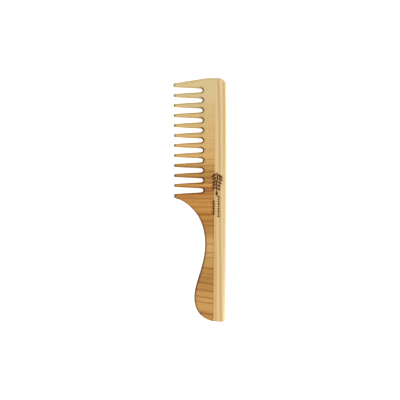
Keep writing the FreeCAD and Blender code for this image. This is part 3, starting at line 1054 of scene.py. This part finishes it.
def panelWood():
    finish = panelFinish
    material, shader, place = startMaterial("crossGrainedWood")
    x, y, z = splitVector(place)
    drift = minus(noise(place, 0.035, 2.0), 0.5)
    skew = spread(x, 35.0, 75.0, 0.01, 0.145, smooth=True)
    across = minus(x, times(skew, minus(y, 5.0)))
    across = timesPlus(minus(z, topFace / mm), finish["ringSlope"], across)
    across = timesPlus(drift, finish["wander"], across)
    ripple = noise(scaled(place, 0.16, 0.11), 1.0, 2.0)
    across = timesPlus(minus(ripple, 0.5), finish["ripple"], across)
    along = spread(across, -halfLength / mm, halfLength / mm)
    share = finish["exposure"]
    tones = []
    for spot, tone in finish["tones"]:
        tones.append(((spot * mm + halfLength) / (2 * halfLength), paint(*tone, share)))
    colour = toneRamp(along, tones)

    late = 0.0
    for spot, width, strength in finish["rings"]:
        late = calc("MAXIMUM", late, lateWood(across, spot, width, strength))
    uneven = noise(scaled(place, 0.3, 0.03), 1.0, 2.0)
    spaced = timesPlus(uneven, finish["fineWander"], across)
    comb = calc("FRACT", over(spaced, finish["fineRingPitch"]))
    fineRing = times(spread(comb, 0.45, 0.85, smooth=True),
                     spread(comb, 0.86, 1.0, 1.0, 0.0, smooth=True))
    # the fine rings fade at the toe, past the mark and down the teeth
    fineShare = times(spread(x, -92.0, -70.0, 0.03, 0.42),
                      spread(x, -38.0, -28.0, 1.0, 0.25), spread(y, -12.0, 9.0, 0.45, 1.0))
    late = calc("MAXIMUM", late, times(fineRing, fineShare))

    fibre = fibresOf(finish, joinVector(y, x, z))
    edge = useGroup(edgeGroup, {"Fibre": (0.0, 1.0, 0.0), "Place": place})

    broken = times(late, spread(fibre["Streak"], 0.0, 1.0, 1.0, 0.75))
    colour = tint(colour, finish["lateTint"], broken)
    patch = spread(noise(scaled(place, 0.42, 0.05, 0.3), 1.0, 2.0, 0.6), 0.42, 0.68)
    patch = times(patch, spread(x, -70.0, -10.0, 0.12, 0.55))
    colour = tint(colour, finish["patchTint"], patch)
    colour = grain(finish, colour, fibre)
    # glue has soaked in beside the joint, more towards the handle
    glue = times(spread(y, glueLine / mm - 1.1, glueLine / mm - 0.1, smooth=True),
                 spread(x, -30.0, 20.0, 0.15, 0.65))
    colour = tint(colour, finish["glueTint"], glue)
    # painted shade where the faces round over at the rim, stronger towards the handle
    rim = times(edge["Rim"], spread(x, -90.0, -20.0, 0.25, 0.85))
    colour = tint(colour, finish["rimTint"], rim)
    # painted shade greys the tips, and takes the place of part of their end-grain darkening
    rise = times(calc("ADD", x, halfLength / mm), math.tan(teeth["lean"]))
    fromTip = minus(minus(y, tipLine / mm), rise)
    tipShade = times(spread(fromTip, 0.8, 2.6, 1.0, 0.0, smooth=True), spread(x, -2.0, 0.0, 1.0, 0.0))
    # darker end grain with painted shade on it, less at the toe and at the tips
    endGrainAndShade = times(edge["End Grain"], spread(x, -94.0, -80.0, 0.6, 1.0), timesPlus(tipShade, -0.55, 1.0))
    colour = darkenEndsAndShade(finish, colour, edge, endGrainAndShade)
    # painted shade in the rounded ends of the gaps
    gapShade = times(spread(y, -1.4, 0.6), spread(x, -1.0, 1.0, 1.0, 0.0),
                  spread(y, 5.0, 6.0, 1.0, 0.0), spread(x, -92.0, -35.0, 0.6, 1.0),
                  spread(x, -93.0, -91.5))
    colour = tint(colour, finish["gapTint"], times(gapShade, edge["Shoulder"]))
    # painted shade on the tips
    colour = tint(colour, finish["tipTint"], tipShade)
    # and painted shade on the handle's rounded edge where it faces away from the light
    facing = splitVector(addNode(place.id_data, "ShaderNodeTexCoord").outputs["Normal"])[0]
    turnedAway = times(spread(facing, 0.02, -0.35), spread(x, 15.0, 35.0))
    colour = tint(colour, finish["gripTint"], times(turnedAway, edge["Shoulder"]))
    oil(shader, finish, place, colour, late, fibre, edge)
    return material


spineFinish = {
    "pale": (224, 196, 144),
    "pink": (228, 201, 154),
    "outer": (236, 214, 174),
    "warm": (210, 176, 112),            # beside the glue line, towards the heel
    "warmWidth": 2.6,
    "firstRing": 2.4,                   # mm from the glue line at the toe
    "firstRunOut": 3.8,                 # how far it drifts outwards over the whole length
    "secondRing": 6.8,
    "secondRunOut": 3.2,
    "wander": 1.3,
    "ringSlope": 0.22,
    "ringTint": (0.79, 0.67, 0.49, 1.0),
    "streakTint": (0.86, 0.79, 0.68, 1.0),
    "poreTint": (0.78, 0.66, 0.50, 1.0),
    "poreShare": 0.35,
    # darker end grain, with painted shade on it
    "endTint": (0.62, 0.52, 0.39, 1.0),
    "edge": (250, 238, 204),            # painted highlight along the rounded back
    "edgeWidth": 1.65,
    "exposure": 0.90,
    "roughness": 0.44,
    "poreRoughness": 0.12,
    "rimShine": 0.08,
    "grainDepth": 0.045 * mm,
    "ringHeight": 0.4,
    "pitDepth": 0.0,
    "streakLength": 55.0,
    "streakWidth": 0.9,
    "poreLength": 5.5,
    "poreWidth": 0.2,
    "scratchTurn": 0.9,
    "scratches": 1.0,
}


def spineWood():
    finish = spineFinish
    share = finish["exposure"]
    material, shader, place = startMaterial("longGrainedWood")
    x, y, z = splitVector(place)
    drift = minus(noise(scaled(place, 0.014, 0.05, 0.05), 1.0, 2.0), 0.5)
    along = spread(x, -halfLength / mm, halfLength / mm)
    fromGlue = timesPlus(drift, finish["wander"], minus(y, glueLine / mm))
    under = minus(z, topFace / mm)
    sloped = timesPlus(under, finish["ringSlope"], fromGlue)
    across = minus(minus(sloped, finish["firstRing"]),
                   times(calc("POWER", along, 0.7), finish["firstRunOut"]))
    outer = minus(minus(sloped, finish["secondRing"]), times(along, finish["secondRunOut"]))

    warmEnd = finish["warmWidth"]
    warm = spread(fromGlue, warmEnd - 0.7, warmEnd + 0.5, 1.0, 0.0, smooth=True)
    warm = times(warm, spread(along, 0.35, 0.75))
    colour = mixColours(paint(*finish["pale"], share), paint(*finish["warm"], share), warm)
    pink = times(spread(across, -0.1, 0.5, smooth=True), 0.8)
    colour = mixColours(colour, paint(*finish["pink"], share), pink)
    colour = mixColours(colour, paint(*finish["outer"], share), spread(across, 2.4, 6.0))
    first = lateWood(across, 0.0, 1.9, 1.0)
    second = lateWood(outer, 0.0, 1.8, 1.0)
    second = times(second, spread(along, 0.15, 0.5, 1.0, 0.55))
    inner = lateWood(across, -3.6, 1.6, 0.4)
    late = calc("MAXIMUM", calc("MAXIMUM", first, second), inner)

    fibre = fibresOf(finish, place)
    edge = useGroup(edgeGroup, {"Fibre": (1.0, 0.0, 0.0), "Place": place})
    colour = tint(colour, finish["ringTint"], late)
    colour = grain(finish, colour, fibre)
    bowed = times(x, x, back["bow"] * mm / halfLength ** 2)
    fromBack = minus(minus(backLine / mm, bowed), y)
    # a painted highlight along the rounded back, stronger towards the toe
    strip = spread(fromBack, finish["edgeWidth"] + 0.5, finish["edgeWidth"] - 0.4, smooth=True)
    strip = times(strip, times(edge["Face"], 0.85))
    backHighlight = calc("MAXIMUM", edge["Rubbed"], strip)
    backHighlight = times(backHighlight, spread(along, 0.2, 0.9, 0.75, 0.3))
    colour = mixColours(colour, paint(*finish["edge"], share), backHighlight)
    # darker end grain with painted shade on it
    colour = darkenEndsAndShade(finish, colour, edge, edge["End Grain"])
    oil(shader, finish, place, colour, late, fibre, edge)
    return material


charFinish = {
    "dark": (48, 24, 8),
    "brown": (96, 50, 14),
    "streakTint": (0.6, 0.5, 0.4, 1.0),
    "crustDepth": 0.06 * mm,
    "streakLength": 8.0,
    "streakWidth": 0.5,
    "poreLength": 2.0,
    "poreWidth": 0.2,
}


def charredWood():
    finish = charFinish
    material, shader, place = startMaterial("charredWood")
    crust = noise(place, 2.4, 4.0, 0.65)
    fibre = fibresOf(finish, place)
    crusted = spread(crust, 0.38, 0.66)
    colour = mixColours(paint(*finish["dark"]), paint(*finish["brown"]), crusted)
    colour = tint(colour, finish["streakTint"], times(fibre["Streak"], 0.5))
    feed(shader.inputs, {"Base Color": colour, "Specular IOR Level": 0.2,
                         "Roughness": spread(crust, 0.3, 0.7, 0.7, 0.92)})
    addBump(shader, calc("ADD", crust, fibre["Height"]), finish["crustDepth"], 0.8)
    return material


# Finishing the pieces

edgeAngle = math.radians(42)            # edges sharper than this stay crisp


def finishPiece(piece, material):
    mesh = piece.data
    side = mesh.attributes.get("side")
    if side:
        mesh.attributes.remove(side)
    mesh.materials.clear()
    mesh.materials.append(material)


finishPiece(panel, panelWood())
finishPiece(spine, spineWood())
burnMark([panel, spine], charredWood())
for piece, node, slot in ((panel, "tooth_panel", "panel_wood"), (spine, "spine_strip", "spine_wood")):
    piece.data.shade_smooth()
    piece.data.set_sharp_from_angle(angle=edgeAngle)
    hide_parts(node)
    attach(piece, "root")
    closed, volume = closedAndVolume(piece.data)
    print("piece:", piece.name, len(piece.data.polygons), "faces, closed", closed, round(volume * 1e9), "mm3")
